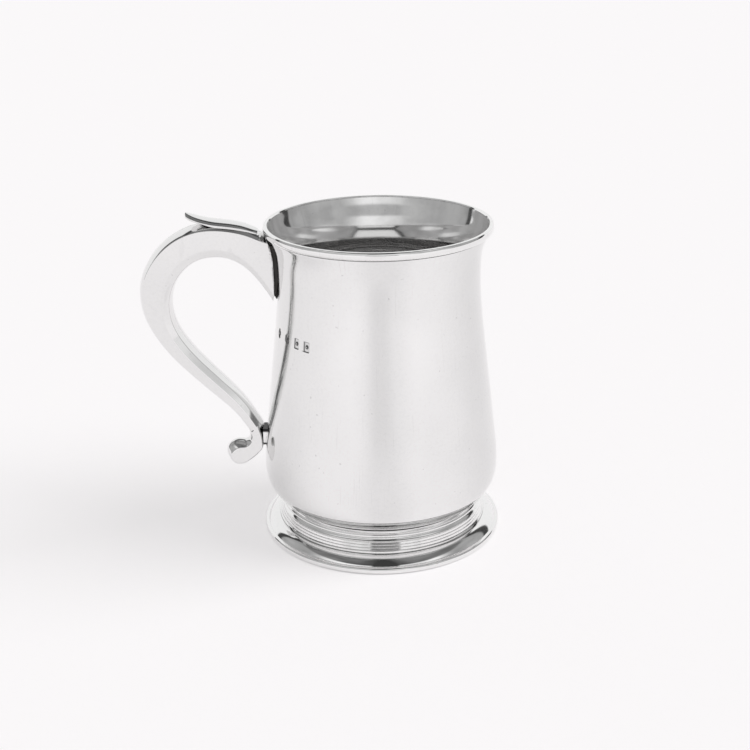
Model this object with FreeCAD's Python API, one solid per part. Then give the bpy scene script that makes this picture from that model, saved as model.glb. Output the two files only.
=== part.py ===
import FreeCAD, Part
import math
import os

# Handled baluster mug in polished pewter, sizes in millimetres.
# The mug's axis is Z, z = 0 is the table, and the handle lies along -X in the plane y = 0.

os.makedirs("parts", exist_ok=True)

# ---- driving dimensions ----
rim_top = 124.9          # height of the mug without its handle
lip_bottom = 121.2       # lower edge of the lip moulding
wall_top = 124.2         # top edge of the body's own wall, under the lip moulding
lip_radius = 43.7
belly_radius = 46.4
waist_radius = 39.0
foot_radius = 47.6
wall = 1.1               # body wall and floor
floor_z = 13.9           # underside of the body's floor
floor_edge = 35.4        # where the flat floor turns up into its rounded corner
corner_radius = 10.0
corner_end = -41.0       # degrees, where the corner's arc runs into the side
foot_bore = 34.8         # inner radius of the foot's upper rings
wire_bore = 44.0         # inner radius of the base wire
wire_height = 2.65
flange_top = 6.7
flange_wall = 1.5
reeds_top = 10.8
reed_count = 3

# outer side of the body above its floor corner, up to the lip moulding: radius, height
body_side = [(45.4, 21.4), (belly_radius, 27.0), (45.7, 38.4), (43.5, 57.5), (40.6, 82.0),
             (39.1, 99.0), (waist_radius, 109.0), (39.8, 115.8), (41.9, lip_bottom)]
wall_edge_radius = 42.6
wall_edge_land = 0.8     # width of the wall's flat top edge

# turned trim, each point a radius and a height; a "swell" is the middle of a convex curve
# and a "sink" the middle of a concave one
lip_ledge, lip_swell = (42.2, lip_bottom), (lip_radius, lip_bottom + 2.0)
lip_crown, lip_inner_swell = (42.8, rim_top), (42.1, rim_top - 0.2)
neck_edge, neck_swell, neck_groove = (38.8, floor_z), (39.25, 13.55), (38.7, 13.15)
bead_swell, bead_edge = (39.8, 12.3), (38.8, 11.2)
cavetto_edge, cavetto_sink = (38.7, reeds_top), (38.9, 10.0)
reeds_start, reeds_end = (39.6, 9.6), (41.0, flange_top)
reed_swell = (0.36, 0.17)     # from the middle of a reed's chord out to its crest
flange_shoulder, flange_swell, flange_toe = (41.1, flange_top), (44.0, 5.15), (46.1, wire_height)
flange_inner_toe, flange_inner_sink = (44.6, wire_height), (42.9, 4.1)
flange_inner_top = (40.4, flange_top - flange_wall)
wire_edge, wire_swell = (46.9, 0), (foot_radius, 1.3)

# handle stations from the upper joint to the lower one:
# outer crest x, z, inner crest x, z, and the width along Y
handle_stations = [
    (-37.0, 119.4, -39.6, 93.4, 13.2),
    (-42.8, 120.7, -44.4, 101.2, 13.2),
    (-49.1, 123.3, -50.6, 108.4, 13.2),
    (-59.7, 125.4, -59.0, 112.4, 13.2),
    (-70.2, 124.4, -66.6, 111.9, 13.1),
    (-79.9, 119.5, -71.9, 109.2, 13.0),
    (-87.4, 111.5, -76.3, 104.4, 13.0),
    (-91.5, 101.7, -79.0, 98.6, 12.8),
    (-91.4, 91.5, -79.8, 92.6, 12.5),
    (-87.5, 81.5, -78.5, 85.4, 12.0),
    (-81.3, 72.4, -74.3, 77.6, 11.4),
    (-73.8, 64.3, -68.0, 69.9, 10.8),
    (-66.0, 56.7, -60.8, 62.2, 10.2),
    (-58.4, 49.2, -53.4, 53.6, 9.6),
    (-52.5, 40.7, -46.9, 43.2, 8.9),
]
dome_share = 0.13        # height of the domed back, as a share of the width
bulge_share = 0.27       # height of the rounded inner face, as a share of the width
handle_wall = 1.2
hollow_first, hollow_last = 3, 11    # stations between which the handle is hollow

# joints between the handle and the body
upper_gap = 1.35         # space between the handle's end and the body, bridged by a socket
upper_socket_inset = 1.5
upper_socket_last = 2    # last handle station that the socket follows
lower_pad_x = -46.9      # face where the scroll meets its joint pad
lower_pad_reach = 4.0    # how far the pad's blank runs in before it is cut to the body
lower_pad_z = (34.8, 41.6)
lower_pad_width = 6.6

# thumb leaf on top of the handle: top crest x, z, underside z, half width
leaf_stations = [
    (-45.6, 122.7, 120.4, 3.4),
    (-50.0, 124.5, 122.0, 4.6),
    (-57.0, 126.0, 123.7, 5.2),
    (-62.5, 126.7, 124.6, 5.2),
    (-67.0, 127.6, 126.0, 4.6),
    (-70.5, 128.7, 126.9, 3.8),
    (-72.6, 129.4, 127.7, 2.6),
]
leaf_dome = 0.6

# scroll at the handle's lower end, widths along Y and outline in the plane y = 0
scroll_width = 8.9
scroll_stem_low = (lower_pad_x, 34.4)
scroll_stem_edge, scroll_crotch = (-52.5, 39.0), (-52.7, 37.4)
scroll_lobe = [(-48.6, 31.5), (-52.6, 28.1), (-56.7, 26.5), (-59.9, 27.8), (-61.8, 30.6),
               (-61.4, 33.5), (-59.6, 35.4), (-57.0, 36.2), (-54.6, 36.0)]

# row of four plain punch marks: angle from +X, width and height
mark_height = 85.5
mark_angles = (200.0, 211.0, 220.0, 228.0)
mark_width, mark_tall, mark_depth = 2.8, 4.0, 0.25
mark_dot = mark_width / 5
mark_corner = {"clipped": 0.7, "square": 0.25}
mark_kinds = ("oval", "clipped", "square", "square")


def point(r, z):
    return FreeCAD.Vector(r, 0, z)


def line(a, b):
    return Part.LineSegment(point(*a), point(*b)).toShape()


def arc(a, mid, b):
    return Part.Arc(point(*a), point(*mid), point(*b)).toShape()


def curve(points):
    spline = Part.BSplineCurve()
    spline.interpolate([point(*p) for p in points])
    return spline.toShape()


def turned(edges):
    """Revolve a closed outline about Z."""
    face = Part.Face(Part.Wire(edges))
    return face.revolve(FreeCAD.Vector(0, 0, 0), FreeCAD.Vector(0, 0, 1), 360)


def save(shape, node):
    solid = shape if shape.ShapeType == "Solid" else Part.Solid(shape.Shells[0])
    if solid.Volume < 0:
        solid.reverse()
    solid.exportStep(f"parts/{node}.step")


def corner_point(distance, angle):
    radius, turn = corner_radius + distance, math.radians(angle)
    return (floor_edge + radius * math.cos(turn), floor_z + corner_radius + radius * math.sin(turn))


def side_edges(distance):
    """Floor corner and side of the body, moved outward by a distance, and the side's last point."""
    moved = [corner_point(distance, corner_end)]
    for i, (r, z) in enumerate(body_side):
        r0, z0 = body_side[i - 1] if i else corner_point(0, corner_end)
        r1, z1 = body_side[min(i + 1, len(body_side) - 1)]
        length = math.hypot(r1 - r0, z1 - z0)
        moved.append((r + distance * (z1 - z0) / length, z - distance * (r1 - r0) / length))
    corner = arc(corner_point(distance, -90), corner_point(distance, (corner_end - 90) / 2), moved[0])
    return [corner, curve(moved)], moved[-1]


def body_envelope(distance):
    """Solid volume inside the body's side, grown by a distance."""
    side, end = side_edges(distance)
    bottom, top = floor_z - distance, wall_top + 3
    return turned([line((0, bottom), (floor_edge, bottom))] + side + [
        line(end, (end[0] + 1, top)),
        line((end[0] + 1, top), (0, top)),
        line((0, top), (0, bottom)),
    ])


def punch(angle, kind):
    """Shallow recess with a plain raised dot in it, facing out from the body."""
    centre = FreeCAD.Vector(0, 0, 0)
    half_w, half_t = mark_width / 2, mark_tall / 2
    if kind == "oval":
        ellipse = Part.Ellipse(centre, half_t, half_w)
        outline = Part.Wire(ellipse.toShape())
        outline.rotate(centre, FreeCAD.Vector(0, 0, 1), 90)
    else:
        cut = mark_corner[kind]
        corners = []
        for sx, sy in ((1, 1), (-1, 1), (-1, -1), (1, -1)):
            near_y = FreeCAD.Vector(sx * half_w, sy * (half_t - cut), 0)
            near_x = FreeCAD.Vector(sx * (half_w - cut), sy * half_t, 0)
            corners += [near_y, near_x] if sx * sy > 0 else [near_x, near_y]
        outline = Part.makePolygon(corners + corners[:1])
    blank = 10 * mark_depth
    recess = Part.Face(outline).extrude(FreeCAD.Vector(0, 0, blank))
    dot = Part.makeCylinder(mark_dot, blank)
    tool = recess.cut(dot)
    # stand the prism up: its local Y becomes Z and its depth runs outward along +X
    tool.rotate(centre, FreeCAD.Vector(1, 0, 0), 90)
    tool.rotate(centre, FreeCAD.Vector(0, 0, 1), 90)
    above = next(i for i, (r, z) in enumerate(body_side) if z > mark_height)
    (r0, z0), (r1, z1) = body_side[above - 1:above + 1]
    surface = r0 + (r1 - r0) * (mark_height - z0) / (z1 - z0)
    tool.translate(FreeCAD.Vector(surface - mark_depth, 0, mark_height))
    tool.rotate(centre, FreeCAD.Vector(0, 0, 1), angle)
    return tool


def make_body():
    outer, outer_end = side_edges(0)
    inner, inner_end = side_edges(-wall)
    inner_floor = floor_z + wall
    shell = turned([line((0, floor_z), (floor_edge, floor_z))] + outer + [
        line(outer_end, (wall_edge_radius, wall_top)),
        line((wall_edge_radius, wall_top), (wall_edge_radius - wall_edge_land, wall_top)),
        line((wall_edge_radius - wall_edge_land, wall_top), inner_end),
    ] + inner[::-1] + [
        line((floor_edge, inner_floor), (0, inner_floor)),
        line((0, inner_floor), (0, floor_z)),
    ])
    for angle, kind in zip(mark_angles, mark_kinds):
        shell = shell.cut(punch(angle, kind))
    return shell.Solids[0]


def make_lip():
    wall_outer, wall_inner = (wall_edge_radius, wall_top), (wall_edge_radius - wall_edge_land, wall_top)
    return turned([
        line(body_side[-1], lip_ledge),
        arc(lip_ledge, lip_swell, lip_crown),
        arc(lip_crown, lip_inner_swell, wall_inner),
        line(wall_inner, wall_outer),
        line(wall_outer, body_side[-1]),
    ])


def make_neck_bead():
    """Fine fillet under the body's floor, and a bead below it."""
    return turned([
        line((foot_bore, floor_z), neck_edge),
        arc(neck_edge, neck_swell, neck_groove),
        arc(neck_groove, bead_swell, bead_edge),
        line(bead_edge, cavetto_edge),
        line(cavetto_edge, (foot_bore, reeds_top)),
        line((foot_bore, reeds_top), (foot_bore, floor_z)),
    ])


def make_reeded_ring():
    """Cavetto on top, then a run of fine reeds that steps outward to the flange."""
    edges = [line((foot_bore, reeds_top), cavetto_edge),
             arc(cavetto_edge, cavetto_sink, reeds_start)]
    here = reeds_start
    for i in range(reed_count):
        share = (i + 1) / reed_count
        there = tuple(a + share * (b - a) for a, b in zip(reeds_start, reeds_end))
        crest = tuple((a + b) / 2 + swell for a, b, swell in zip(here, there, reed_swell))
        edges.append(arc(here, crest, there))
        here = there
    edges += [line(here, (foot_bore, flange_top)),
              line((foot_bore, flange_top), (foot_bore, reeds_top))]
    return turned(edges)


def make_foot_flange():
    """Domed spreading flange, hollow underneath."""
    inner_low, inner_high = (foot_bore, flange_inner_top[1]), (foot_bore, flange_top)
    return turned([
        line(inner_high, flange_shoulder),
        arc(flange_shoulder, flange_swell, flange_toe),
        line(flange_toe, flange_inner_toe),
        arc(flange_inner_toe, flange_inner_sink, flange_inner_top),
        line(flange_inner_top, inner_low),
        line(inner_low, inner_high),
    ])


def make_base_wire():
    inner_low, inner_high = (wire_bore, 0), (wire_bore, wire_height)
    return turned([
        line(inner_low, wire_edge),
        arc(wire_edge, wire_swell, flange_toe),
        line(flange_toe, inner_high),
        line(inner_high, inner_low),
    ])


def handle_section(station, inset):
    """Closed outline across the handle: domed back, straight sides, rounded inner face."""
    ox, oz, ix, iz, width = station
    outer, inner = FreeCAD.Vector(ox, 0, oz), FreeCAD.Vector(ix, 0, iz)
    out = (outer - inner).normalize()
    side = FreeCAD.Vector(0, width / 2 - inset, 0)
    back = outer - out * inset
    front = inner + out * inset
    clear_width = width - 2 * inset
    back_edge = outer - out * (dome_share * clear_width + inset)
    front_edge = inner + out * (bulge_share * clear_width + inset)
    return Part.Wire([
        Part.Arc(back_edge - side, back, back_edge + side).toShape(),
        Part.LineSegment(back_edge + side, front_edge + side).toShape(),
        Part.Arc(front_edge + side, front, front_edge - side).toShape(),
        Part.LineSegment(front_edge - side, back_edge - side).toShape(),
    ])


def handle_loft(stations, inset):
    return Part.makeLoft([handle_section(s, inset) for s in stations], True, False)


def make_handle():
    """Two hollow half shells that meet on the plane y = 0."""
    outside = handle_loft(handle_stations, 0)
    inside = handle_loft(handle_stations[hollow_first:hollow_last + 1], handle_wall)
    shell = outside.cut(inside).cut(body_envelope(upper_gap))
    reach, side = 2 * foot_radius, handle_stations[0][-1]
    front_box = Part.makeBox(reach, side, rim_top + side, FreeCAD.Vector(-reach, -side, 0))
    back_box = Part.makeBox(reach, side, rim_top + side, FreeCAD.Vector(-reach, 0, 0))
    front = max(shell.common(front_box).Solids, key=lambda s: s.Volume)
    back = max(shell.common(back_box).Solids, key=lambda s: s.Volume)
    return outside, front, back


def make_upper_socket():
    """Pad that bridges the narrow space between the handle's end and the body."""
    pad = handle_loft(handle_stations[:upper_socket_last + 1], upper_socket_inset)
    pad = pad.common(body_envelope(upper_gap)).cut(body_envelope(0))
    return max(pad.Solids, key=lambda s: s.Volume)


def make_lower_socket():
    low, high = lower_pad_z
    box = Part.makeBox(lower_pad_reach, lower_pad_width, high - low,
                       FreeCAD.Vector(lower_pad_x, -lower_pad_width / 2, low))
    return max(box.cut(body_envelope(0)).Solids, key=lambda s: s.Volume)


def make_handle_scroll():
    """Solid curled end below the hollow handle."""
    ox, oz, ix, iz, _ = handle_stations[-1]
    edges = [line((ix, iz), scroll_stem_low),
             curve([scroll_stem_low] + scroll_lobe),
             arc(scroll_lobe[-1], scroll_crotch, scroll_stem_edge),
             line(scroll_stem_edge, (ox, oz)),
             line((ox, oz), (ix, iz))]
    face = Part.Face(Part.Wire(edges))
    face.translate(FreeCAD.Vector(0, -scroll_width / 2, 0))
    return face.extrude(FreeCAD.Vector(0, scroll_width, 0))


def make_thumb_leaf(handle_outside):
    """Leaf seated on the handle's back, with a free tip that curls up."""
    sections = []
    for x, top, bottom, half in leaf_stations:
        edge = top - leaf_dome
        corners = [FreeCAD.Vector(x, y, z) for y, z in
                   ((-half, edge), (half, edge), (half, bottom), (-half, bottom))]
        crest = FreeCAD.Vector(x, 0, top)
        sections.append(Part.Wire([
            Part.Arc(corners[0], crest, corners[1]).toShape(),
            Part.LineSegment(corners[1], corners[2]).toShape(),
            Part.LineSegment(corners[2], corners[3]).toShape(),
            Part.LineSegment(corners[3], corners[0]).toShape(),
        ]))
    leaf = Part.makeLoft(sections, True, False).cut(handle_outside)
    return max(leaf.Solids, key=lambda s: s.Volume)


handle_outside, handle_front, handle_back = make_handle()
save(make_body(), "body")
save(make_lip(), "lip_moulding")
save(make_neck_bead(), "neck_bead")
save(make_reeded_ring(), "reeded_ring")
save(make_foot_flange(), "foot_flange")
save(make_base_wire(), "base_wire")
save(handle_front, "handle_front_half")
save(handle_back, "handle_back_half")
save(make_handle_scroll(), "handle_scroll")
save(make_thumb_leaf(handle_outside), "thumb_leaf")
save(make_upper_socket(), "upper_socket")
save(make_lower_socket(), "lower_socket")
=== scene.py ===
import bpy
import math
import numpy
from mathutils import Matrix, Vector


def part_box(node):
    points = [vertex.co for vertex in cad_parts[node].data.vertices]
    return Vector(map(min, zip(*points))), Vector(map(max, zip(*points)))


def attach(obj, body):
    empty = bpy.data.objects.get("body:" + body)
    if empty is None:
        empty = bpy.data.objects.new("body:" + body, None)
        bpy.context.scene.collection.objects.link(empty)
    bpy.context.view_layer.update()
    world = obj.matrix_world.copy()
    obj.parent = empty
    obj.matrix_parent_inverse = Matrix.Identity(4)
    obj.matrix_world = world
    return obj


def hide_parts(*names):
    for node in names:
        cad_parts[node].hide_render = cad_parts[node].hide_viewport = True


# Handled baluster mug in polished pewter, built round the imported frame.
# Outlines are in millimetres in the frame's own axes: Z up, the handle along -X, y = 0 its plane.

MM = 0.001

# ---- body ----
WALL = 1.1
FLOOR_EDGE = 35.4          # radius where the flat floor turns up
CORNER_RADIUS = 10.0
CORNER_END = -41.0         # degrees
BODY_SIDE = [(45.4, 21.4), (46.4, 27.0), (45.7, 38.4), (43.5, 57.5), (40.6, 82.0),
             (39.1, 99.0), (39.0, 109.0), (39.8, 115.8), (41.9, 121.2)]
WALL_EDGE = 42.6           # outer radius of the wall's top edge, under the lip moulding
WALL_LAND = 0.8            # width of that edge
FLARE_BLEND = 4.0          # height over which the inner wall eases into the flare
INSIDE_FLARE = [(37.5, 105.0), (37.95, 110.0), (38.6, 113.6), (39.6, 117.4), (40.9, 121.0)]
LIP_GROOVE = 0.42          # height of the groove under the lip moulding
GROOVE_WALL = [(0.01, 1), (0.03, 2), (0.06, 5)]   # out from the wall, quarters of the groove's height up
LIP_TUCK = [(-0.2, 2), (-0.1, 1)]          # the lip's hidden root: out from the wall, grooves up
LIP_ROOT = 0.4                             # where its under-face starts, out from the wall
# in from the widest, up from the lowest
LIP_BELLY, LIP_EDGE, LIP_SIDE = (0.4, 0.95), (0.0, 2.0), (0.03, 2.8)
LIP_SHOULDER = [(0.2, 0.35), (0.42, 0.1)]  # in from the widest, down from the top
LIP_DISH = (0.55, 0.12)                    # dip in its flat top: in from the wall's edge, down
FLOOR_MIDDLE = 6.0         # radius of the floor's innermost ring of faces
CORNER_STEPS, SIDE_STEPS, FLARE_STEPS = 14, 110, 48

# ---- punch marks: angle from +X in degrees and outline ----
MARK_HEIGHT = 85.5
MARKS = [(200.0, "oval"), (211.0, "clipped"), (220.0, "square"), (228.0, "square")]
MARK_WIDTH, MARK_TALL, MARK_DEPTH = 2.8, 4.0, 0.3
MARK_DOT = 0.5             # radius of the raised dot in each mark
MARK_CORNER = {"clipped": 0.7, "square": 0.25}
MARK_EDGE = 0.24           # width of a punch's sloping side
MARK_RISE = 2.6            # heights above and below that get a finer mesh
MARK_ROWS = 46
MARK_WALL = 39.6           # radius inside the wall, between its two faces, at the marks
MARK_RADIUS = BODY_SIDE[4][0]
MARK_REACH = 2.6           # degrees either side of a mark that get a finer mesh
FINE_TURN, COARSE_TURN = 0.14, 1.25        # degrees between columns of faces
RECESS_SHADE_EDGE, RECESS_SHADE_FLOOR = 1.3, 0.3         # width of the painted shade along a mark's edge in MARK_EDGEs, and how much of it lies on a mark's floor

# ---- foot ----
FOOT_BORE = 34.8
WIRE_BORE = 44.0
REED_COUNT = 3
REED_LEAN = 0.2            # how far a reed's face leans out, per unit of height
REED_GROOVE = 0.14
REED_LEDGE = [(0.35, 0.02), (1.0, 0.1)]    # share of the ledge outward, drop
REED_FOOT = (0.16, 0.05)                   # heights of a reed's lower edge and of its groove
REED_START, REED_END = (39.6, 9.6), 41.0   # first reed's radius and height, last reed's radius
CAVETTO = 38.6, (38.98, 10.12)             # radius at the ring's top, and middle
BEAD_NECK, BEAD_TOP = 38.7, [(39.0, 13.6), (39.15, 13.2)]
BEAD = (39.05, 13.1), (39.85, 12.25), (38.9, 11.2)
SLOPE_NECK = [(41.1, 0.0), (41.4, 0.2), (41.4, 1.0), (41.25, 1.15)]    # radius, down from the flange's top
SLOPE = (42.0, 1.1), (44.35, 4.45), 46.1   # start (radius, down), middle, outer radius
UNDER = 44.6, (42.9, 4.1), (40.4, 1.5)     # the same under it, from the outside in
WIRE_EDGE = [(0.45, 0.2), (0.3, 0.32)]     # in from the widest, down from the top
WIRE_BELLY, WIRE_FOOT, WIRE_FLAT = 1.3, (0.45, 0.15), 0.7
WIRE_TOP = 46.1

# ---- handle: outer crest x, z, inner crest x, z, width ----
STATIONS = [
    (-37.0, 119.4, -39.6, 93.4, 13.2),
    (-42.8, 120.7, -44.4, 101.2, 13.2),
    (-49.1, 123.3, -50.6, 108.4, 13.2),
    (-59.7, 125.4, -59.0, 112.4, 13.2),
    (-70.2, 124.4, -66.6, 111.9, 13.1),
    (-79.9, 119.5, -71.9, 109.2, 13.0),
    (-87.4, 111.5, -76.3, 104.4, 13.0),
    (-91.5, 101.7, -79.0, 98.6, 12.8),
    (-91.4, 91.5, -79.8, 92.6, 12.5),
    (-87.5, 81.5, -78.5, 85.4, 12.0),
    (-81.3, 72.4, -74.3, 77.6, 11.4),
    (-73.8, 64.3, -68.0, 69.9, 10.8),
    (-66.0, 56.7, -60.8, 62.2, 10.2),
    (-58.4, 49.2, -53.4, 53.6, 9.6),
    (-52.5, 40.7, -46.9, 43.2, 8.9),
]
DOME = 0.13                # back and inner face swell, as shares of the width
BULGE = 0.27               # how far the chamfer beside the crown reaches
BACK_ROUND = 0.035         # edge rounding beside the back and the inner face, same shares
INNER_CROWN, INNER_FLAT = 0.05, 0.40   # rise and half width of the inner face's crown
INNER_ROUND = 0.10
BULGE_STRAIGHT = 0.2       # how far the flat side's first and last stretch reach, as shares of the width
SIDE_SHARES = (0.2, 0.35, 0.5, 0.65, 0.8)
SEAM_DEPTH = 0.012         # depth of the groove between the two halves, as a share of the width
SEARCH_SHARE, SEARCH_ROUNDS = 0.3, 30      # part of the handle searched for where it meets the body
SEAM = 0.005               # half width of the fine groove between the two halves
HANDLE_GAP = 1.35          # crevice between the handle's end and the body
HANDLE_ROWS = 220

# ---- thumb leaf: x, crest z, underside z, half width ----
LEAF = [
    (-45.6, 122.7, 120.4, 3.4), (-50.0, 124.5, 122.0, 4.6), (-57.0, 126.0, 123.7, 5.2),
    (-62.5, 126.7, 124.6, 5.2), (-67.0, 127.6, 126.0, 4.6), (-70.5, 128.7, 126.9, 3.8),
    (-72.6, 129.4, 127.7, 2.6),
]
LEAF_DOME = 1.0
LEAF_STEPS = 90
LEAF_TIP = 12              # the tip's rounding takes up one part in this many
LEAF_BLUNT = 0.6           # share of the width left at the very tip
LEAF_EDGE = 0.35

# ---- scroll ----
SCROLL_WIDTH = 8.9
SCROLL_STEM_LOW = (-46.9, 34.4)
SCROLL_LOBE = [(-48.6, 31.5), (-52.6, 28.1), (-56.7, 26.5), (-59.9, 27.8), (-61.8, 30.6),
               (-61.4, 33.5), (-59.6, 35.4), (-57.0, 36.2), (-54.6, 36.0)]
SCROLL_STEM_EDGE, SCROLL_CROTCH = (-52.5, 39.0), (-52.7, 37.4)
# share of the outline, drop at the sides
SCROLL_CROWN = [(0.0, 2.4), (0.05, 1.3), (0.12, 0.3), (0.45, 0.3), (0.56, 0.5), (0.66, 2.6),
                (0.76, 3.0), (0.86, 2.2), (0.94, 1.3), (1.0, 1.16)]
CROWN_SMOOTH = 6           # points either side that each drop is averaged over
SCROLL_EDGE = 0.35
SCROLL_ROWS, EDGE_ROWS = 41, 7
EDGE_START, EDGE_END = 0.3, 1.8            # how far in the rounded edge starts and ends, in SCROLL_EDGEs

# ---- metal: scales are per metre; each shade is (low, high, shade at low, shade at high) ----
PEWTER, SPUN_PEWTER, CAST_PEWTER = (0.88, 0.877, 0.875), (0.84, 0.837, 0.835), (0.83, 0.827, 0.825)
# near-black colour that paints the shadow in the gap where the handle's top meets the body
GAP_SHADOW_BLACK = (0.05, 0.048, 0.046)
JOINT_LIT_HEIGHTS = (0.0356, 0.0402)                 # heights of the lower joint between which it stays bright; above and below them shade is painted
LIT_HEIGHTS_SOFT = 0.0004
CREVICE = 0.0008                           # how near a neighbour paints shade on the metal, in metres
DEEP_CREVICE, SHALLOW_CREVICE = 0.0016, 0.0004
DARK = 0.03                                # what is left of the colour in full shade
CLOUDS, FINE, PITS = 38.0, 900.0, 760.0
HAIR_ROUND, HAIR_UP = 70.0, 45.0           # hairlines per radian round the axis, per metre along it
OPEN_RANGE = (0.12, 0.62)
FINE_SHADE, HAIR_SHADE = (0.2, 0.6, 0.97, 1.0), (0.30, 0.38, 0.95, 1.0)
CLOUD_SHADE, PIT_SHADE = (0.25, 0.75, 0.96, 1.0), (0.83, 0.87, 1.0, 0.82)
RECESS_SHADE = (0.0, 1.0, 1.0, 0.12)
ROUGH_CLOUDS = (0.3, 0.8)
# Painted reflections: darker upright stripes fixed to the body, in degrees round from -Y.
STRIPE_MIDDLE = 2.0
MIDDLE_STRIPE, RIGHT_STRIPE = (3.0, 18.0, 0.90, 1.0), (26.0, 64.0, 1.0, 0.87)
LEFT_STRIPE = (-64.0, -22.0, 0.90, 1.0)
WANDER_SCALE, WANDER = 24.0, 10.0          # how the stripes stray, in degrees from side to side
HAIR_BUMP, CLOUD_BUMP, SPUN_BUMP = 0.000003, 0.00004, 0.0003   # in metres
SPUN_ROUND, SPUN_UP = 7.0, 28.0
SPUN_GLOSS = 0.4                           # anisotropy of the spun inside
SPUN_FADE = (0.085, 0.108, 1.0, 0.03)      # its marks fade out between two heights


# ---- light ----
# Directions are in degrees: turn from the back (0) to the right (90), rise above the horizon.
CEILING = 0.2              # brightness of the ceiling in reflections
SIDES = 0.40               # of the room to the left and right
FRONT_LOW, FRONT_MIDDLE, FRONT_HIGH = 0.85, 0.46, 0.95   # of the room on the camera's side, by rise
SWEEP = 0.95               # of the white sweep behind
BAR = 0.06                 # of the dark edge round the sweep
SITTER = 0.05              # of the dark tripod on the camera's side
FILL = 0.36                # strength of the light from all round on the floor
FLOOR_GLOW = 0.455         # the floor's own light, standing for a light table
FRONT_GLOW = 1.12          # painted light: how much brighter that is out of view, on the camera's side
MIDDLE_SHADE = 0.22        # painted shadow of the tripod: how much of the glow is lost in front of it
KEY = 1.15
KEY_FROM, KEY_SPREAD = (1.0, -0.05, 0.95), 42
FLOOR_REACH, FLOOR_DROP = 30.0, 0.00002    # in metres
FLOOR_COLOR, GLOW_COLOR = (0.8, 0.786, 0.792, 1.0), (1.0, 0.982, 0.99, 1.0)
FRONT_FROM, FRONT_TO = -0.5, -0.15         # y between which the floor's extra glow ends
SHADE_ASIDE, SHADE_AHEAD = (0.04, 0.3), (-0.4, -0.155)   # the shade's edges: |x / y|, and y
SWEEP_LEFT, SWEEP_RIGHT = (0.35, -61.0), (-0.6, 58.0)    # each side's lean and its turn at the horizon
SWEEP_TOP, SWEEP_SOFT = 40.0, 2.5
BAR_MARGIN, BAR_SOFT = (7.0, 12.0, 8.0), 3.0             # left, right, top
ROOM_CLOUDS, CLOUD_EDGES = 2.6, (0.3, 0.7)
ROOM_CLOUD, CEILING_CLOUD = (0.85, 1.15), (0.7, 1.3)
LOW_ENDS, LOW_ENDS_MIDDLE = (18.0, 23.0), (5.0, 11.0)    # rise where the bright low front ends
MIDDLE_ASIDE, FRONT_ASIDE = (138.0, 166.0), (100.0, 120.0)
HIGH_STARTS, HIGH_ASIDE = (34.0, 37.0), (95.0, 125.0)
CEILING_EDGE, CEILING_SOFT = (60.0, 150.0, 46.0, 43.0), 4.0   # its rise falls from the back to the front
SITTER_HALF, SITTER_RIGHT = 11.0, 7.0      # half width, and what the right side adds
SITTER_SIDES, SITTER_TURN = (-1.0, 3.0), 0.05
SITTER_FEET, SITTER_HEAD = (5.0, 9.0, 0.75, 0.0), (34.0, 36.0)
GLOOM_ASIDE, GLOOM_RISE = (10.0, 55.0, 0.85, 0.0), (42.0, 48.0)

# ---- camera ----
SENSOR, LENS = 36.0, 63.36
CAMERA_PLACE = (0.0, -0.4853, 0.2514)
YAW, PITCH, ROLL = 0.238, 21.246, -0.8     # degrees


# ======================================================================= curves

def arc(a, mid, b, steps=12):
    """Points on the arc from a through mid to b, both ends included."""
    (ax, ay), (mx, my), (bx, by) = a, mid, b
    d = 2 * (ax * (my - by) + mx * (by - ay) + bx * (ay - my))
    a2, m2, b2 = ax * ax + ay * ay, mx * mx + my * my, bx * bx + by * by
    cx = (a2 * (my - by) + m2 * (by - ay) + b2 * (ay - my)) / d
    cy = (a2 * (bx - mx) + m2 * (ax - bx) + b2 * (mx - ax)) / d
    radius = math.hypot(ax - cx, ay - cy)
    first, middle, last = (math.atan2(y - cy, x - cx) for x, y in (a, mid, b))
    sweep = (last - first) % math.tau
    if (middle - first) % math.tau > sweep:
        sweep -= math.tau
    turns = [first + sweep * i / steps for i in range(steps + 1)]
    return [(cx + radius * math.cos(t), cy + radius * math.sin(t)) for t in turns]


class Spline:
    """Smooth curve through points of any dimension, with an optional direction at its start."""

    def __init__(self, points, start=None):
        self.p = p = numpy.array(points, float)
        gaps = numpy.linalg.norm(numpy.diff(p, axis=0), axis=1)
        self.t = numpy.concatenate([[0.0], numpy.cumsum(gaps)])
        n = len(p)
        a, rhs = numpy.eye(n), numpy.zeros_like(p)
        for i in range(1, n - 1):
            a[i, i - 1:i + 2] = gaps[i - 1], 2 * (gaps[i - 1] + gaps[i]), gaps[i]
            rhs[i] = 6 * ((p[i + 1] - p[i]) / gaps[i] - (p[i] - p[i - 1]) / gaps[i - 1])
        if start is not None:
            a[0, :2] = 2 * gaps[0], gaps[0]
            rhs[0] = 6 * ((p[1] - p[0]) / gaps[0] - numpy.array(start))
        self.m = numpy.linalg.solve(a, rhs)

    def at(self, share):
        """Points at shares of the whole length, from 0 to 1."""
        s = numpy.clip(numpy.asarray(share, float), 0, 1) * self.t[-1]
        i = numpy.clip(numpy.searchsorted(self.t, s, side="right") - 1, 0, len(self.t) - 2)
        h = (self.t[i + 1] - self.t[i])[..., None]
        u = (s - self.t[i])[..., None]
        v = h - u
        p0, p1, m0, m1 = self.p[i], self.p[i + 1], self.m[i], self.m[i + 1]
        bend = (m0 * v ** 3 + m1 * u ** 3) / (6 * h)
        return bend + (p0 / h - m0 * h / 6) * v + (p1 / h - m1 * h / 6) * u

    def points(self, steps):
        return [tuple(p) for p in self.at(numpy.linspace(0, 1, steps + 1))]


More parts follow.
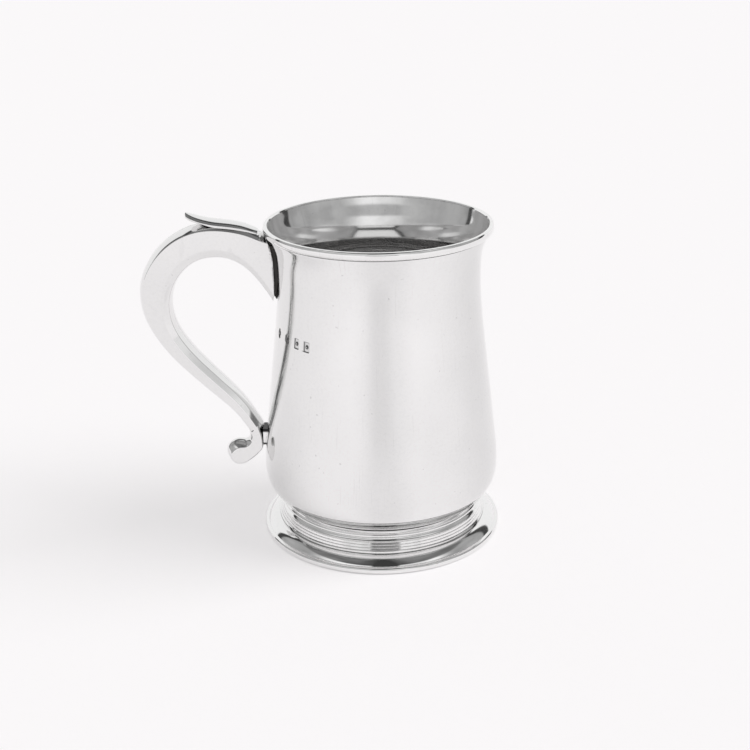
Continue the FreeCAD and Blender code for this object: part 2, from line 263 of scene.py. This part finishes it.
def soften(outline, radius, closed=True, steps=4, least=22.0):
    """The outline with corners sharper than least degrees rounded, and a support point beside each."""
    made, n = [], len(outline)
    for i in range(n):
        p = Vector(outline[i])
        before, after = Vector(outline[i - 1]), Vector(outline[(i + 1) % n])
        if not closed and i in (0, n - 1):
            made.append(tuple(p))
            continue
        come, go = (p - before), (after - p)
        turn = come.angle(go)
        if turn < math.radians(least):
            made.append(tuple(p))
            continue
        cut = min(radius * math.tan(turn / 2), 0.4 * come.length, 0.4 * go.length)
        start, end = p - come.normalized() * cut, p + go.normalized() * cut
        made.append(tuple(p - come.normalized() * cut * 1.2))
        for k in range(steps + 1):
            u = k / steps
            made.append(tuple(start * (1 - u) ** 2 + p * 2 * u * (1 - u) + end * u * u))
        made.append(tuple(p + go.normalized() * cut * 1.2))
    return made


def run(a, b, steps):
    """Points from a to b, without b."""
    return [(a[0] + (b[0] - a[0]) * i / steps, a[1] + (b[1] - a[1]) * i / steps) for i in range(steps)]


# ======================================================================= meshes

def add_mesh(name, vertices, faces, node, sharp=60.0):
    """A smooth piece that stands for a CAD node; vertices in millimetres."""
    mesh = bpy.data.meshes.new(name)
    mesh.from_pydata([tuple(c * MM for c in v) for v in vertices], [], faces)
    mesh.validate()
    mesh.polygons.foreach_set("use_smooth", [True] * len(mesh.polygons))
    mesh.set_sharp_from_angle(angle=math.radians(sharp))
    piece = bpy.data.objects.new(name, mesh)
    bpy.context.collection.objects.link(piece)
    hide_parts(node)
    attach(piece, "root")
    return piece


def turned(outline, angles, push=None):
    """Vertices and faces of a closed outline of (radius, height) turned about Z."""
    vertices, rings = [], []
    for r, z in outline:
        if r < 1e-6:
            rings.append([len(vertices)] * len(angles))
            vertices.append((0.0, 0.0, z))
            continue
        rings.append(list(range(len(vertices), len(vertices) + len(angles))))
        for a in angles:
            here = r + (push(a, r, z) if push else 0.0)
            vertices.append((here * math.cos(a), here * math.sin(a), z))
    faces = []
    for k, low in enumerate(rings):
        high = rings[(k + 1) % len(rings)]
        for i in range(len(angles)):
            j = (i + 1) % len(angles)
            face = list(dict.fromkeys((low[i], low[j], high[j], high[i])))
            if len(face) > 2:
                faces.append(face)
    return vertices, faces


def even_angles(count):
    return [math.tau * i / count for i in range(count)]


def loft(rows):
    """Vertices and faces of a tube over rows of points, each row one section, both ends capped."""
    count = len(rows[0])
    vertices = [tuple(p) for row in rows for p in row]
    faces = []
    for j in range(len(rows) - 1):
        for i in range(count):
            k = (i + 1) % count
            faces.append((j * count + i, j * count + k, (j + 1) * count + k, (j + 1) * count + i))
    faces.append(tuple(range(count)))
    faces.append(tuple((len(rows) - 1) * count + i for i in reversed(range(count))))
    return vertices, faces


# ======================================================================= body and foot

def floor_z():
    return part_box("neck_bead")[1].z / MM


def corner_point(distance, angle):
    radius, turn = CORNER_RADIUS + distance, math.radians(angle)
    return (FLOOR_EDGE + radius * math.cos(turn), floor_z() + CORNER_RADIUS + radius * math.sin(turn))


def side_points(distance):
    """Corner and side of the body moved outward by a distance, from the floor up."""
    first = corner_point(distance, CORNER_END)
    moved = [first]
    for i, (r, z) in enumerate(BODY_SIDE):
        r0, z0 = BODY_SIDE[i - 1] if i else corner_point(0, CORNER_END)
        r1, z1 = BODY_SIDE[min(i + 1, len(BODY_SIDE) - 1)]
        length = math.hypot(r1 - r0, z1 - z0)
        moved.append((r + distance * (z1 - z0) / length, z - distance * (r1 - r0) / length))
    corner = arc(corner_point(distance, -90), corner_point(distance, (CORNER_END - 90) / 2), first,
                 CORNER_STEPS)
    return corner[:-1] + Spline(moved).points(SIDE_STEPS)


def mark_inside(angle, z):
    """Distances in from a punch mark's edge and out from its raised dot; None off the marks."""
    tall = z - MARK_HEIGHT
    for centre, kind in MARKS:
        wide = (math.degrees(angle) - centre) * math.radians(1) * MARK_RADIUS
        if abs(wide) > MARK_WIDTH or abs(tall) > MARK_TALL:
            continue
        half_w, half_t = MARK_WIDTH / 2, MARK_TALL / 2
        if kind == "oval":
            inside = (1 - math.hypot(wide / half_w, tall / half_t)) * half_w
        else:
            corner = MARK_CORNER[kind]
            slant = (half_w + half_t - corner - abs(wide) - abs(tall)) / math.sqrt(2)
            inside = min(half_w - abs(wide), half_t - abs(tall), slant)
        return inside, math.hypot(wide, tall) - MARK_DOT
    return None


def mark_depth_at(angle, z):
    """How deep the punch marks go at a place on the body."""
    found = mark_inside(angle, z)
    if found is None:
        return 0.0
    share = min(1.0, max(0.0, found[0] / MARK_EDGE)) * min(1.0, max(0.0, found[1] / MARK_EDGE))
    return MARK_DEPTH * share * share * (3 - 2 * share)


def mark_recess_shade(vertex):
    """Painted shade, partly patina, under the lip and in the punch marks, heaviest along their edges."""
    x, y, z = vertex
    wall, height = BODY_SIDE[-1]
    if height < z < height + 2 * LIP_GROOVE and math.hypot(x, y) > wall:
        return 1.0
    if abs(z - MARK_HEIGHT) > MARK_RISE or math.hypot(x, y) < MARK_WALL:
        return 0.0
    found = mark_inside(math.atan2(y, x) % math.tau, z)
    if found is None or found[0] <= 0:
        return 0.0
    edge = min(found[0], abs(found[1]))
    return 1.0 if edge < MARK_EDGE * RECESS_SHADE_EDGE else RECESS_SHADE_FLOOR


def body_angles():
    """Angles round the body, closer together where the punch marks are."""
    angles, at = [], 0.0
    while at < 360:
        angles.append(math.radians(at))
        near = min(abs(at - centre) for centre, _ in MARKS)
        at += FINE_TURN if near < MARK_REACH else COARSE_TURN
    return angles


def make_body():
    outer, base, top = side_points(0), floor_z(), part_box("body")[1].z / MM
    inner = [p for p in side_points(-WALL) if p[1] < INSIDE_FLARE[0][1] - FLARE_BLEND]
    flare = Spline([inner[-1]] + INSIDE_FLARE + [(WALL_EDGE - WALL_LAND, top)])
    inner = inner + flare.points(FLARE_STEPS)[1:-1]
    low, high = MARK_HEIGHT - MARK_RISE, MARK_HEIGHT + MARK_RISE
    below = [p for p in outer if p[1] < low]
    above = [p for p in outer if p[1] > high]
    heights = numpy.linspace(low, high, MARK_ROWS)
    marked = list(zip(numpy.interp(heights, [p[1] for p in outer], [p[0] for p in outer]), heights))
    outline = [(0.0, base)] + run((FLOOR_MIDDLE, base), outer[0], 8)
    outline += below + marked + above
    (r, z), rise = BODY_SIDE[-1], LIP_GROOVE / 4
    outline += [(r + out, z + up * rise) for out, up in GROOVE_WALL]
    outline += [(WALL_EDGE, top), (WALL_EDGE - WALL_LAND, top)]
    outline += inner[::-1]
    outline += run(inner[0], (0.0, inner[0][1]), 20) + [(0.0, inner[0][1])]

    def push(angle, r, z):
        if low <= z <= high and r > MARK_WALL:
            return -mark_depth_at(angle % math.tau, z)
        return 0.0

    vertices, faces = turned(outline, body_angles(), push)
    body = add_mesh("body_shell", vertices, faces, "body")
    recess_shade = body.data.attributes.new("recess_shade", "FLOAT", "POINT")
    recess_shade.data.foreach_set("value", [mark_recess_shade(v) for v in vertices])
    centres = numpy.array([tuple(face.center) for face in body.data.polygons]) / MM
    wall = numpy.interp(centres[:, 2], [p[1] for p in inner], [p[0] for p in inner]) + WALL / 4
    inside = (centres[:, 2] > base + WALL / 2) & (numpy.hypot(centres[:, 0], centres[:, 1]) < wall)
    body.data.polygons.foreach_set("material_index", inside.astype(int).tolist())
    return body


def turned_trim(name, outline, node, radius=0.12):
    vertices, faces = turned(soften(outline, radius), even_angles(360))
    return add_mesh(name, vertices, faces, node)


def make_lip():
    """Rim band: flared under-face, upright side, crisp edge and a nearly flat top; a fine groove below."""
    low, high = (c.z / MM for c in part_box("lip_moulding"))
    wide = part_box("lip_moulding")[1].y / MM
    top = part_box("body")[1].z / MM
    start_r, start_z = BODY_SIDE[-1]
    root = (start_r + LIP_ROOT, low + LIP_GROOVE)
    belly, edge, side = ((wide - a, low + b) for a, b in (LIP_BELLY, LIP_EDGE, LIP_SIDE))
    shoulder = [(wide - a, high - b) for a, b in LIP_SHOULDER]
    outline = [(start_r + out, start_z + LIP_GROOVE * up) for out, up in LIP_TUCK] + [root]
    outline += arc(root, belly, edge, 12)[1:]
    outline += arc(edge, side, shoulder[0], 8)[1:]
    outline += [shoulder[1], (WALL_EDGE, high), (WALL_EDGE - LIP_DISH[0], high - LIP_DISH[1])]
    outline += [(WALL_EDGE - WALL_LAND, top), (WALL_EDGE, top)]
    return turned_trim("lip_moulding_bead", outline, "lip_moulding", 0.1)


def make_neck_bead():
    low, high = (c.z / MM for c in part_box("neck_bead"))
    outline = [(FOOT_BORE, high), (BEAD_NECK, high)] + BEAD_TOP
    outline += arc(*BEAD, 16)
    outline += [(BEAD_NECK, low), (FOOT_BORE, low)]
    return turned_trim("neck_bead_ring", outline, "neck_bead", 0.06)


def make_reeded_ring():
    """Cavetto on top, then reeds stepping outward: nearly upright faces, narrow ledges, fine grooves."""
    low, high = (c.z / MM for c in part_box("reeded_ring"))
    cavetto, middle = CAVETTO
    outline = [(FOOT_BORE, high)] + arc((cavetto, high), middle, REED_START, 10)
    drop = (REED_START[1] - low) / REED_COUNT
    step_out = (REED_END - REED_START[0]) / REED_COUNT
    edge, groove = REED_FOOT
    for i in range(REED_COUNT):
        r, z = REED_START[0] + step_out * i, REED_START[1] - drop * i
        ledge = step_out - REED_LEAN * drop
        outline += [(r + ledge * share, z - down) for share, down in REED_LEDGE]
        outline += [(r + step_out, z - drop + edge), (r + step_out - REED_GROOVE, z - drop + groove)]
    outline += [(REED_END, low), (FOOT_BORE, low)]
    return turned_trim("reeded_foot_ring", outline, "reeded_ring", 0.05)


def make_foot_flange():
    low, high = (c.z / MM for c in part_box("foot_flange"))
    (start, down), middle, wide = SLOPE
    under, under_middle, (neck, under_down) = UNDER
    outline = [(FOOT_BORE, high)] + [(r, high - d) for r, d in SLOPE_NECK]
    outline += arc((start, high - down), middle, (wide, low), 24)
    outline += arc((under, low), under_middle, (neck, high - under_down), 10)
    outline += [(FOOT_BORE, high - under_down)]
    return turned_trim("foot_flange_dome", outline, "foot_flange", 0.05)


def make_base_wire():
    """Foot rim: nearly flat on top, then a crisp edge and an upright, slightly swelling side."""
    low, high = (c.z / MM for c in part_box("base_wire"))
    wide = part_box("base_wire")[1].y / MM
    side = [(wide - a, high - b) for a, b in WIRE_EDGE]
    side += arc(side[-1], (wide, WIRE_BELLY), (wide - WIRE_FOOT[0], low + WIRE_FOOT[1]), 14)[1:]
    outline = [(WIRE_BORE, low), (wide - WIRE_FLAT, low)] + side[::-1]
    outline += [(WIRE_TOP, high), (WIRE_BORE, high)]
    return turned_trim("base_wire_ring", outline, "base_wire", 0.08)


# ======================================================================= handle

def half_section():
    """Half of the handle's unit section, inner crest to outer crest, as rows of
    (share of depth, offset along the depth and across, both in widths)."""
    crown, half = INNER_CROWN, INNER_FLAT
    inner = [(SEAM_DEPTH, 0.0), (0.0, SEAM)]
    inner += arc((0.0, 0.0), (crown * 0.25, half / 2), (crown, half), 12)[1:]
    inner += [(BULGE, 0.5), (BULGE + BULGE_STRAIGHT, 0.5)]
    inner = soften(inner, INNER_ROUND, closed=False, steps=6, least=12)
    outer = [(-DOME - BULGE_STRAIGHT, 0.5)]
    outer += arc((-DOME, 0.5), (-DOME * 0.25, 0.25), (0.0, 0.0), 14)[:-1]
    outer += [(0.0, SEAM), (-SEAM_DEPTH, 0.0)]
    outer = soften(outer, BACK_ROUND, closed=False, steps=5, least=12)
    side = [(e, BULGE * (1 - e) - DOME * e, 0.5) for e in SIDE_SHARES]
    rows = [(0.0, a, b) for a, b in inner[:-1]] + side + [(1.0, a, b) for a, b in outer[1:]]
    return numpy.array(rows)


def place_section(path, share, unit):
    """World points of unit section rows at shares along the handle."""
    s = path.at(share)
    outer, inner, width = s[..., 0:2], s[..., 2:4], s[..., 4:5]
    depth = numpy.linalg.norm(outer - inner, axis=-1, keepdims=True)
    out = (outer - inner) / depth
    along = depth * unit[..., 0:1] + width * unit[..., 1:2]
    xz = inner + out * along
    y = width * unit[..., 2:3]
    return numpy.concatenate([xz[..., 0:1], y, xz[..., 1:2]], axis=-1)


def make_handle_half(name, node, side):
    """Front (side -1) or back (side 1) half shell, its upper end following the body."""
    path, unit = Spline(STATIONS), half_section()
    envelope = side_points(0)
    radii, heights = [p[0] for p in envelope], [p[1] for p in envelope]
    start = numpy.zeros(len(unit))
    for k in range(len(unit)):
        low, high = 0.0, SEARCH_SHARE
        for _ in range(SEARCH_ROUNDS):
            middle = (low + high) / 2
            x, y, z = place_section(path, numpy.array([middle]), unit[k:k + 1])[0]
            if math.hypot(x, y) > numpy.interp(z, heights, radii) + HANDLE_GAP:
                high = middle
            else:
                low = middle
        start[k] = high
    rows = []
    for j in range(HANDLE_ROWS + 1):
        share = start + (1 - start) * j / HANDLE_ROWS
        row = place_section(path, share, unit)
        row[:, 1] *= side
        rows.append(row)
    vertices, faces = loft(rows)
    return add_mesh(name, vertices, faces, node, sharp=50)


def make_leaf():
    """Thin leaf on the handle's back, with rounded edges and a rounded free tip."""
    path = Spline(LEAF)
    rows, steps = [], LEAF_STEPS
    for j in range(steps + 1):
        x, top, under, half = path.at(numpy.array([j / steps]))[0]
        tip = min(1.0, (steps - j) / steps * LEAF_TIP)
        half *= math.sqrt(max(0.0, 1 - (1 - tip) ** 2)) * (1 - LEAF_BLUNT) + LEAF_BLUNT
        edge = top - LEAF_DOME
        outline = arc((-half, edge), (0.0, top), (half, edge), 16) + [(half, under), (-half, under)]
        rows.append([(x, y, z) for y, z in soften(outline, LEAF_EDGE, steps=4)])
    vertices, faces = loft(rows)
    return add_mesh("thumb_leaf_plate", vertices, faces, "thumb_leaf", sharp=50)


def make_scroll():
    """Curled end of the handle: its outline carried across the width, lower towards the sides."""
    ox, oz, ix, iz, _ = STATIONS[-1]
    outline = run((ix, iz), SCROLL_STEM_LOW, 24)
    outline += Spline([SCROLL_STEM_LOW] + SCROLL_LOBE, start=(0.0, -1.0)).points(110)[:-1]
    outline += arc(SCROLL_LOBE[-1], SCROLL_CROTCH, SCROLL_STEM_EDGE, 12)[:-1]
    outline += run(SCROLL_STEM_EDGE, (ox, oz), 6) + [(ox, oz)]
    points = numpy.array(outline)
    ahead = numpy.gradient(points, axis=0)
    ahead /= numpy.linalg.norm(ahead, axis=1, keepdims=True)
    inward = numpy.stack([ahead[:, 1], -ahead[:, 0]], axis=1)
    gaps = numpy.linalg.norm(numpy.diff(points, axis=0), axis=1)
    lengths = numpy.concatenate([[0], numpy.cumsum(gaps)])
    share, drop = zip(*SCROLL_CROWN)
    crown = numpy.interp(lengths / lengths[-1], share, drop)
    window = 2 * CROWN_SMOOTH + 1
    crown = numpy.pad(crown, CROWN_SMOOTH, mode="edge")
    crown = numpy.convolve(crown, numpy.ones(window) / window, mode="valid")[:, None]
    half, rows = SCROLL_WIDTH / 2, []
    flat = half - SCROLL_EDGE
    for y in numpy.linspace(-flat, flat, SCROLL_ROWS):
        rows.append((y, points + inward * crown * (y / half) ** 2))
    rim = inward * crown * (flat / half) ** 2
    for k in range(1, EDGE_ROWS + 1):
        turn = math.pi / 2 * k / EDGE_ROWS
        y = flat + SCROLL_EDGE * math.sin(turn)
        ring = points + rim + inward * SCROLL_EDGE * (1 - math.cos(turn) + EDGE_START)
        rows.append((y, ring))
        rows.insert(0, (-y, ring))
    inner_ring = points + rim + inward * SCROLL_EDGE * EDGE_END
    rows.append((half, inner_ring))
    rows.insert(0, (-half, inner_ring))
    vertices, faces = loft([[(x, y, z) for x, z in ring] for y, ring in rows])
    return add_mesh("handle_scroll_end", vertices, faces, "handle_scroll", sharp=50)


# ======================================================================= materials

class Tree:
    """Short calls for building a node tree."""

    def __init__(self, tree):
        self.nodes, self.links = tree.nodes, tree.links

    def node(self, kind, **values):
        made = self.nodes.new("ShaderNode" + kind)
        for key, value in values.items():
            setattr(made, key, value)
        return made

    def feed(self, socket, value):
        if isinstance(value, bpy.types.NodeSocket):
            self.links.new(value, socket)
        else:
            socket.default_value = value

    def math(self, operation, *values):
        made = self.node("Math", operation=operation)
        for socket, value in zip(made.inputs, values):
            self.feed(socket, value)
        return made.outputs[0]

    def step(self, value, low, high, start=0.0, end=1.0):
        """start below low, end above high, and a smooth change between."""
        made = self.node("MapRange", interpolation_type="SMOOTHSTEP")
        for socket, v in zip(made.inputs, (value, low, high, start, end)):
            self.feed(socket, v)
        return made.outputs[0]

    def mix(self, share, a, b):
        made = self.node("Mix", data_type="FLOAT")
        for socket, value in ((made.inputs[0], share), (made.inputs[2], a), (made.inputs[3], b)):
            self.feed(socket, value)
        return made.outputs[0]

    def color(self, share, a, b):
        made = self.node("Mix", data_type="RGBA")
        for socket, value in ((made.inputs[0], share), (made.inputs[6], a), (made.inputs[7], b)):
            self.feed(socket, value)
        return made.outputs[2]

    def noise(self, vector, scale, detail=2.0, roughness=0.5):
        made = self.node("TexNoise")
        self.feed(made.inputs["Vector"], vector)
        for key, value in (("Scale", scale), ("Detail", detail), ("Roughness", roughness)):
            made.inputs[key].default_value = value
        return made.outputs["Fac"]


def metal(name, color, roughness, smudge=0.04, crevice=CREVICE, reflection_stripes=False, spun=False, lit_heights=None):
    """Polished pewter: fine scratches, soft smudges, small pits and painted shade in crevices, partly
    patina. Options paint reflections as darker upright stripes on the body, add a spun lathe finish, and
    paint shade outside two heights."""
    material = bpy.data.materials.new(name)
    material.use_nodes = True
    t = Tree(material.node_tree)
    shader = t.nodes["Principled BSDF"]
    shader.inputs["Metallic"].default_value = 1.0
    place = t.node("TexCoord").outputs["Object"]
    split = t.node("SeparateXYZ")
    t.feed(split.inputs[0], place)
    x, y, z = split.outputs
    around = t.math("ARCTAN2", x, t.math("MULTIPLY", y, -1.0))
    radius = t.math("SQRT", t.math("ADD", t.math("MULTIPLY", x, x), t.math("MULTIPLY", y, y)))

    def stretched(per_turn, per_metre):
        """Noise space that changes at one rate round the axis and another along it."""
        made = t.node("CombineXYZ")
        t.feed(made.inputs[0], t.math("MULTIPLY", around, per_turn))
        t.feed(made.inputs[1], t.math("MULTIPLY", z, per_metre))
        t.feed(made.inputs[2], t.math("MULTIPLY", radius, per_metre))
        return made.outputs[0]

    def bump(height, distance, under=None):
        made = t.node("Bump")
        made.inputs["Strength"].default_value = 1.0
        made.inputs["Distance"].default_value = distance
        t.feed(made.inputs["Height"], height)
        if under:
            t.feed(made.inputs["Normal"], under)
        return made.outputs[0]

    clouds = t.noise(place, CLOUDS, detail=3.0)
    fine = t.noise(place, FINE, detail=2.0)
    hairlines = t.noise(stretched(HAIR_ROUND, HAIR_UP), 1.0, detail=3.0, roughness=0.6)
    pits = t.noise(place, PITS, detail=0.0)
    # painted shade, partly patina, under the lip and in the punch marks
    recess_shade = t.node("Attribute", attribute_name="recess_shade").outputs["Fac"]
    # painted shade in crevices, partly standing for patina, from how near other surfaces are
    open_share = t.node("AmbientOcclusion", samples=8)
    open_share.inputs["Distance"].default_value = crevice
    shade = t.step(open_share.outputs["AO"], *OPEN_RANGE)
    for value, change in ((fine, FINE_SHADE), (hairlines, HAIR_SHADE), (clouds, CLOUD_SHADE),
                          (pits, PIT_SHADE), (recess_shade, RECESS_SHADE)):
        shade = t.math("MULTIPLY", shade, t.step(value, *change))
    # painted reflections: darker upright stripes up the body
    if reflection_stripes:
        wander = t.math("MULTIPLY_ADD", t.noise(place, WANDER_SCALE), WANDER, -WANDER / 2)
        turn = t.math("ADD", t.math("MULTIPLY", around, math.degrees(1)), wander)
        middle = t.step(t.math("ABSOLUTE", t.math("SUBTRACT", turn, STRIPE_MIDDLE)), *MIDDLE_STRIPE)
        sides = t.math("MULTIPLY", t.step(turn, *RIGHT_STRIPE), t.step(turn, *LEFT_STRIPE))
        shade = t.math("MULTIPLY", shade, t.math("MULTIPLY", middle, sides))
    # painted shade on the metal above and below the lit heights
    if lit_heights:
        low, high = lit_heights
        above = t.step(z, low - LIT_HEIGHTS_SOFT, low + LIT_HEIGHTS_SOFT)
        below = t.step(z, high - LIT_HEIGHTS_SOFT, high + LIT_HEIGHTS_SOFT, 1.0, 0.0)
        shade = t.math("MULTIPLY", shade, t.math("MULTIPLY", above, below))
    dark = tuple(c * DARK for c in color)
    t.feed(shader.inputs["Base Color"], t.color(shade, (*dark, 1.0), (*color, 1.0)))
    t.feed(shader.inputs["Roughness"], t.step(clouds, *ROUGH_CLOUDS, roughness, roughness + smudge))
    normal = bump(clouds, CLOUD_BUMP, under=bump(hairlines, HAIR_BUMP))
    if spun:
        shader.inputs["Anisotropic"].default_value = SPUN_GLOSS
        tangent = t.node("Tangent", direction_type="RADIAL", axis="Z")
        t.feed(shader.inputs["Tangent"], tangent.outputs[0])
        rays = t.noise(stretched(SPUN_ROUND, SPUN_UP), 1.0, detail=3.0, roughness=0.7)
        normal = bump(t.math("MULTIPLY", rays, t.step(z, *SPUN_FADE)), SPUN_BUMP, under=normal)
    t.feed(shader.inputs["Normal"], normal)
    return material


# ======================================================================= stage

def make_floor():
    mesh = bpy.data.meshes.new("floor")
    reach = FLOOR_REACH
    corners = [(-reach, -reach, 0), (reach, -reach, 0), (reach, reach, 0), (-reach, reach, 0)]
    mesh.from_pydata(corners, [], [(0, 1, 2, 3)])
    floor = bpy.data.objects.new("floor", mesh)
    bpy.context.collection.objects.link(floor)
    material = bpy.data.materials.new("pale_floor")
    material.use_nodes = True
    t = Tree(material.node_tree)
    shader = t.nodes["Principled BSDF"]
    shader.inputs["Base Color"].default_value = FLOOR_COLOR
    shader.inputs["Roughness"].default_value = 1.0
    shader.inputs["Specular IOR Level"].default_value = 0.0
    shader.inputs["Emission Color"].default_value = GLOW_COLOR
    split = t.node("SeparateXYZ")
    t.feed(split.inputs[0], t.node("TexCoord").outputs["Object"])
    x, y, _ = split.outputs
    # painted light out of view: the glow is brighter on the camera's side, with a painted tripod shadow in
    # front
    front = t.step(y, FRONT_FROM, FRONT_TO, FLOOR_GLOW * FRONT_GLOW, FLOOR_GLOW)
    middle = t.math("ABSOLUTE", t.math("DIVIDE", x, y))
    shaded = t.step(middle, *SHADE_ASIDE, FLOOR_GLOW, 0.0)
    shaded = t.math("MULTIPLY", shaded, t.step(y, *SHADE_AHEAD, MIDDLE_SHADE, 0.0))
    t.feed(shader.inputs["Emission Strength"], t.math("SUBTRACT", front, shaded))
    mesh.materials.append(material)
    floor.location.z = -FLOOR_DROP


def make_world():
    """White sweep behind with dark edges, a grey room, a dark ceiling, and an even light for the floor."""
    world = bpy.data.worlds.new("studio")
    bpy.context.scene.world = world
    world.use_nodes = True
    t = Tree(world.node_tree)
    t.nodes.clear()
    split = t.node("SeparateXYZ")
    direction = t.node("TexCoord").outputs["Generated"]
    t.feed(split.inputs[0], direction)
    x, y, z = split.outputs
    turn = t.math("MULTIPLY", t.math("ARCTAN2", x, y), math.degrees(1))
    rise = t.math("MULTIPLY", t.math("ARCSINE", z), math.degrees(1))
    aside = t.math("ABSOLUTE", turn)
    left = t.math("MULTIPLY_ADD", rise, *SWEEP_LEFT)
    right = t.math("MULTIPLY_ADD", rise, *SWEEP_RIGHT)

    def window(margin, soft):
        """1 inside the sweep's outline grown by margins (left, right, top), 0 outside."""
        grow_left, grow_right, grow_top = margin
        over_left = t.math("ADD", t.math("SUBTRACT", turn, left), grow_left)
        over_right = t.math("SUBTRACT", t.math("SUBTRACT", turn, right), grow_right)
        share = t.math("MULTIPLY", t.step(over_left, -soft, 0.0), t.step(over_right, 0.0, soft, 1.0, 0.0))
        top = SWEEP_TOP + grow_top
        return t.math("MULTIPLY", share, t.step(rise, top, top + soft, 1.0, 0.0))

    clouds = t.noise(direction, ROOM_CLOUDS, detail=2.0)
    low = t.step(rise, *LOW_ENDS, FRONT_LOW, FRONT_MIDDLE)
    low = t.mix(t.step(aside, *MIDDLE_ASIDE), t.step(rise, *LOW_ENDS_MIDDLE, FRONT_LOW, FRONT_MIDDLE), low)
    room = t.mix(t.step(aside, *FRONT_ASIDE), SIDES, low)
    high = t.math("MULTIPLY", t.step(rise, *HIGH_STARTS), t.step(aside, *HIGH_ASIDE))
    room = t.mix(high, room, FRONT_HIGH)
    room = t.math("MULTIPLY", room, t.step(clouds, *CLOUD_EDGES, *ROOM_CLOUD))
    ceiling = t.step(clouds, *CLOUD_EDGES, *(CEILING * share for share in CEILING_CLOUD))
    above = t.math("SUBTRACT", rise, t.step(aside, *CEILING_EDGE))
    room = t.mix(t.step(above, 0.0, CEILING_SOFT), room, ceiling)
    off = t.math("ABSOLUTE", t.math("SUBTRACT", aside, 180.0))
    half = t.math("MULTIPLY_ADD", t.step(x, -SITTER_TURN, SITTER_TURN), SITTER_RIGHT, SITTER_HALF)
    sitter = t.step(t.math("SUBTRACT", off, half), *SITTER_SIDES, 1.0, 0.0)
    tall = t.math("ADD", t.step(rise, *SITTER_FEET), t.step(rise, *SITTER_HEAD))
    room = t.mix(t.math("MULTIPLY", sitter, tall), room, SITTER)
    gloom = t.math("MULTIPLY", t.step(off, *GLOOM_ASIDE), t.step(rise, *GLOOM_RISE))
    room = t.mix(gloom, room, SITTER)
    seen = t.mix(window(BAR_MARGIN, BAR_SOFT), room, BAR)
    seen = t.mix(window((0.0, 0.0, 0.0), SWEEP_SOFT), seen, SWEEP)
    far = t.node("Background")
    t.feed(far.inputs["Color"], seen)
    fill = t.node("Background")
    fill.inputs["Strength"].default_value = FILL
    fill.inputs["Color"].default_value = (1.0, 1.0, 1.0, 1.0)
    choose = t.node("MixShader")
    t.feed(choose.inputs[0], t.node("LightPath").outputs["Is Diffuse Ray"])
    t.feed(choose.inputs[1], far.outputs[0])
    t.feed(choose.inputs[2], fill.outputs[0])
    t.feed(t.node("OutputWorld").inputs["Surface"], choose.outputs[0])


def make_key():
    lamp = bpy.data.lights.new("key", "SUN")
    lamp.energy = KEY
    lamp.angle = math.radians(KEY_SPREAD)
    key = bpy.data.objects.new("key", lamp)
    bpy.context.collection.objects.link(key)
    toward = Vector(KEY_FROM).normalized()
    key.rotation_mode = "QUATERNION"
    key.rotation_quaternion = toward.to_track_quat("Z", "Y")
    key.visible_glossy = False


def make_camera():
    lens = bpy.data.cameras.new("camera")
    lens.sensor_width = SENSOR
    lens.lens = LENS
    lens.clip_start, lens.clip_end = 0.01, 100.0
    camera = bpy.data.objects.new("camera", lens)
    bpy.context.collection.objects.link(camera)
    yaw, pitch, roll = (math.radians(angle) for angle in (YAW, PITCH, ROLL))
    turn = Matrix.Rotation(yaw, 4, "Z") @ Matrix.Rotation(math.pi / 2 - pitch, 4, "X")
    camera.matrix_world = Matrix.Translation(CAMERA_PLACE) @ turn @ Matrix.Rotation(roll, 4, "Z")
    bpy.context.scene.camera = camera


# ======================================================================= build

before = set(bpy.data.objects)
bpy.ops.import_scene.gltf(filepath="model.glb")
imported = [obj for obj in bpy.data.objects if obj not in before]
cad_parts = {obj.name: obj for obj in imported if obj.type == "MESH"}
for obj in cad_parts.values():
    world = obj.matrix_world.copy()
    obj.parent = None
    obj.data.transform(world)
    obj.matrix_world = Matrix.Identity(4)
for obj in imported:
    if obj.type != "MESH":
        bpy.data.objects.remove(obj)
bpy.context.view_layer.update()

pieces = [make_body(), make_lip(), make_neck_bead(), make_reeded_ring(), make_foot_flange(),
          make_base_wire(), make_handle_half("handle_front_shell", "handle_front_half", -1),
          make_handle_half("handle_back_shell", "handle_back_half", 1), make_leaf(), make_scroll()]
outside = metal("polished_pewter", PEWTER, 0.07, reflection_stripes=True)
inside = metal("spun_pewter", SPUN_PEWTER, 0.07, crevice=SHALLOW_CREVICE, spun=True)
turned_metal = metal("turned_pewter", PEWTER, 0.05)
cast_metal = metal("cast_pewter", CAST_PEWTER, 0.06, crevice=DEEP_CREVICE)
# the upper socket is painted near-black as the shadow in that gap
joint_top = metal("gap_shadow_joint", GAP_SHADOW_BLACK, 0.35)
# the lower socket has shade painted above and below a lit band
joint_low = metal("joint_pewter", PEWTER, 0.08, crevice=DEEP_CREVICE, lit_heights=JOINT_LIT_HEIGHTS)
by_piece = {"body_shell": (outside, inside)}
for piece in pieces:
    trim = piece.name.startswith(("lip", "neck", "reeded", "foot", "base"))
    for material in by_piece.get(piece.name, (turned_metal if trim else cast_metal,)):
        piece.data.materials.append(material)
for node, material in (("upper_socket", joint_top), ("lower_socket", joint_low)):
    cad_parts[node].data.materials.clear()
    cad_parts[node].data.materials.append(material)

make_floor()
make_world()
make_key()
make_camera()
scene = bpy.context.scene
scene.view_settings.view_transform = "Standard"
scene.view_settings.look = "None"
scene.cycles.glossy_bounces = 12
scene.cycles.max_bounces = 16
